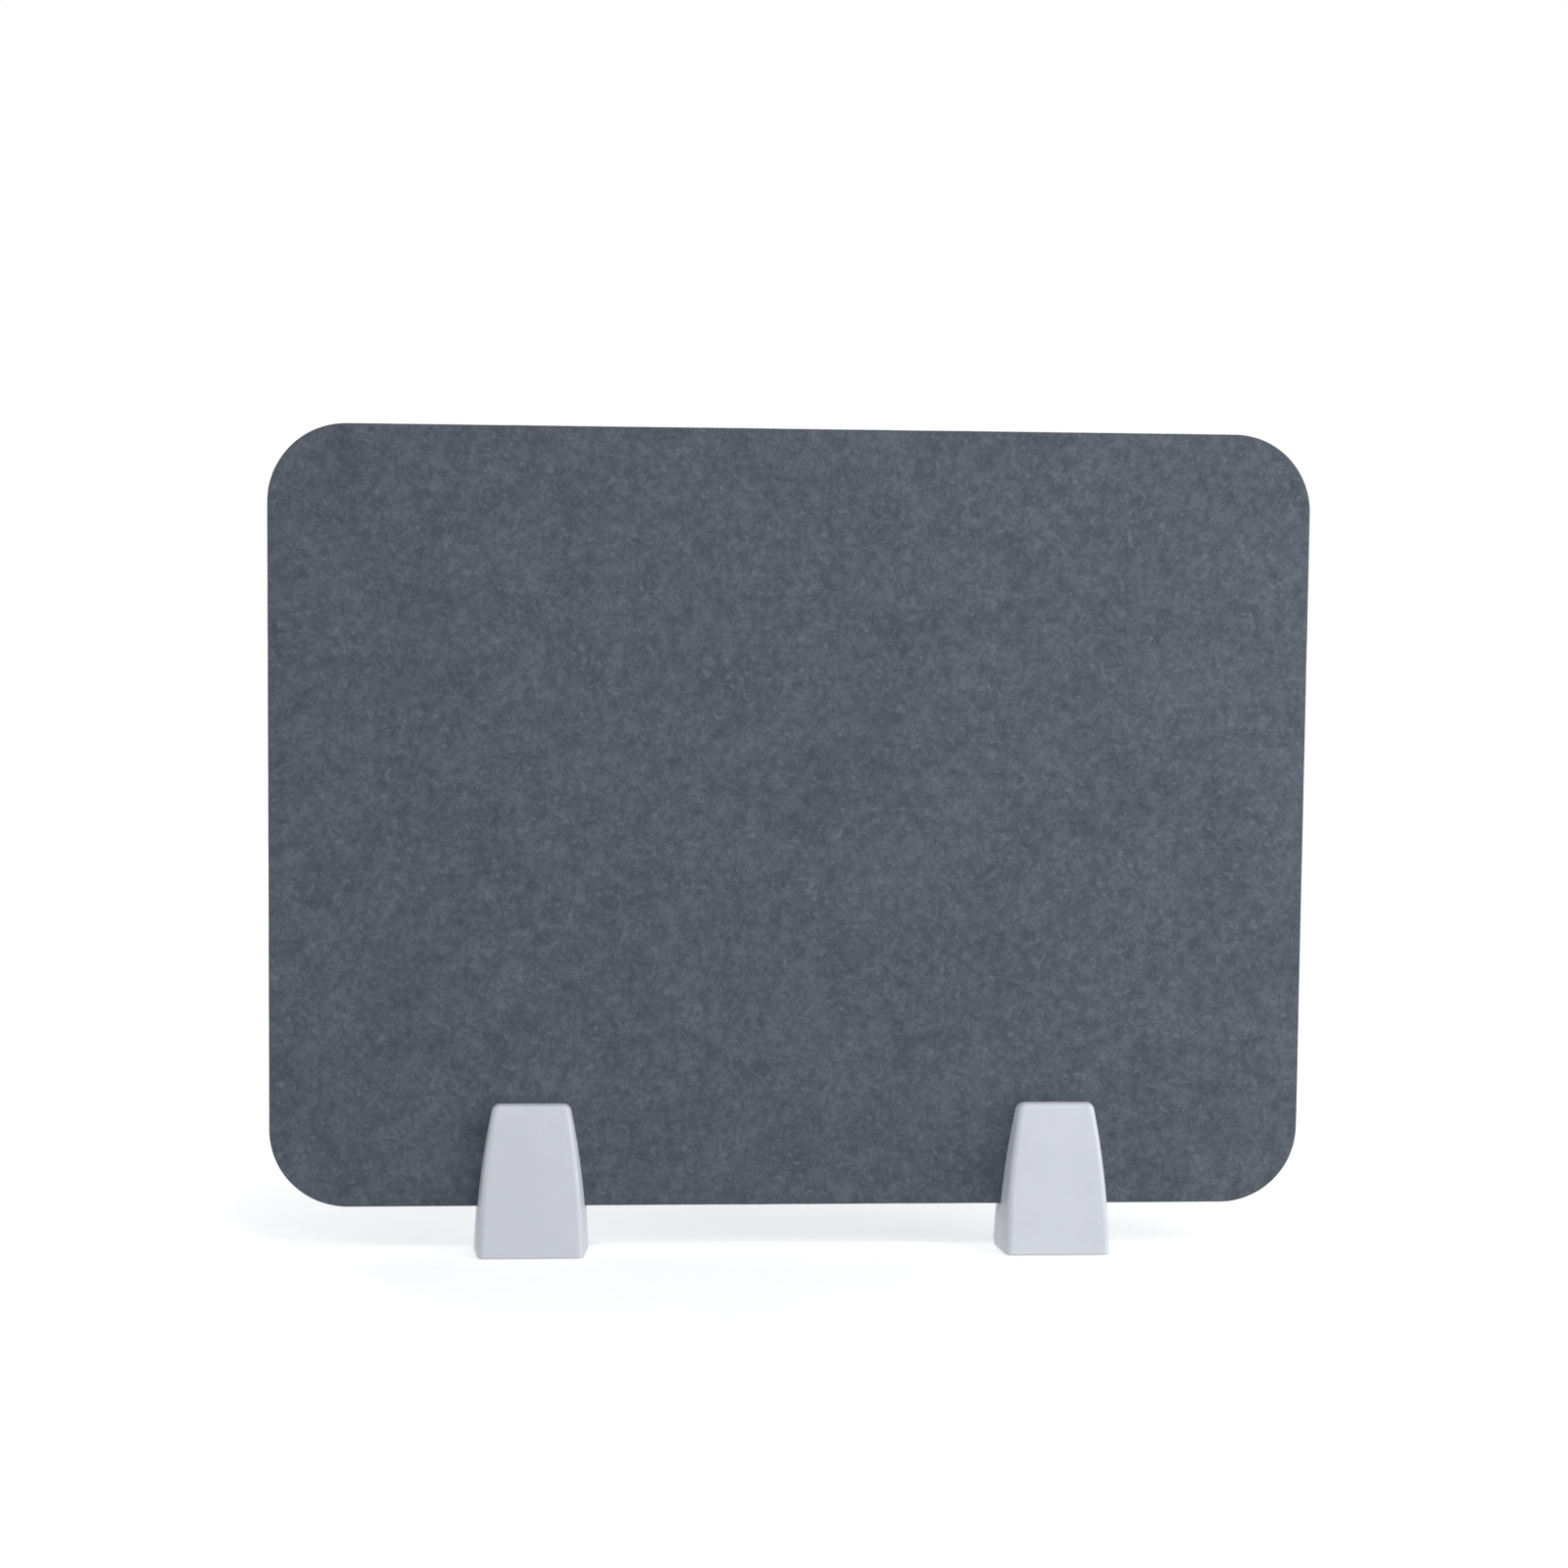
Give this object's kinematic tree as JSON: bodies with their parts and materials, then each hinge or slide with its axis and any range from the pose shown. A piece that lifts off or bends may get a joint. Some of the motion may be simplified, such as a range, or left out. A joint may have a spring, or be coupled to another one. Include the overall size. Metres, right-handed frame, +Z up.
{
  "type": "acoustic divider screen",
  "caption": "Desktop acoustic screen: a stiff rounded felt board held upright by clamping feet that slide along its bottom edge.",
  "frame": {"origin": "on the desk surface, midway along the board and in the middle of its thickness", "axes": "+X along the board to the right as seen from the front, +Y towards the back where the screws are, +Z up"},
  "size_m": [0.6, 0.0558, 0.476],
  "materials": {
    "felt": "needle-punched heather felt, matt",
    "foot_plastic": "fine spark-eroded texture",
    "grip_rubber": "matt moulded",
    "pad_rubber": "matt moulded",
    "screw_steel": "zinc plated",
    "insert_brass": "turned"
  },
  "bodies": {
    "panel": {"felt_panel": "felt"},
    "left_foot": {"left_foot_front_shell": "foot_plastic", "left_foot_rear_shell": "foot_plastic", "left_foot_front_liner": "grip_rubber", "left_foot_rear_liner": "grip_rubber", "left_foot_front_pad": "pad_rubber", "left_foot_rear_pad": "pad_rubber", "left_foot_screw_a": "screw_steel", "left_foot_screw_b": "screw_steel", "left_foot_insert_a": "insert_brass", "left_foot_insert_b": "insert_brass"},
    "right_foot": {"right_foot_front_shell": "foot_plastic", "right_foot_rear_shell": "foot_plastic", "right_foot_front_liner": "grip_rubber", "right_foot_rear_liner": "grip_rubber", "right_foot_front_pad": "pad_rubber", "right_foot_rear_pad": "pad_rubber", "right_foot_screw_a": "screw_steel", "right_foot_screw_b": "screw_steel", "right_foot_insert_a": "insert_brass", "right_foot_insert_b": "insert_brass"}
  },
  "joints": [
    {"name": "left_foot_slide", "type": "slide", "parent": "panel", "child": "left_foot", "axis": [1, 0, 0], "range_m": [-0.072, 0.107]},
    {"name": "right_foot_slide", "type": "slide", "parent": "panel", "child": "right_foot", "axis": [1, 0, 0], "range_m": [-0.113, 0.066]}
  ]
}
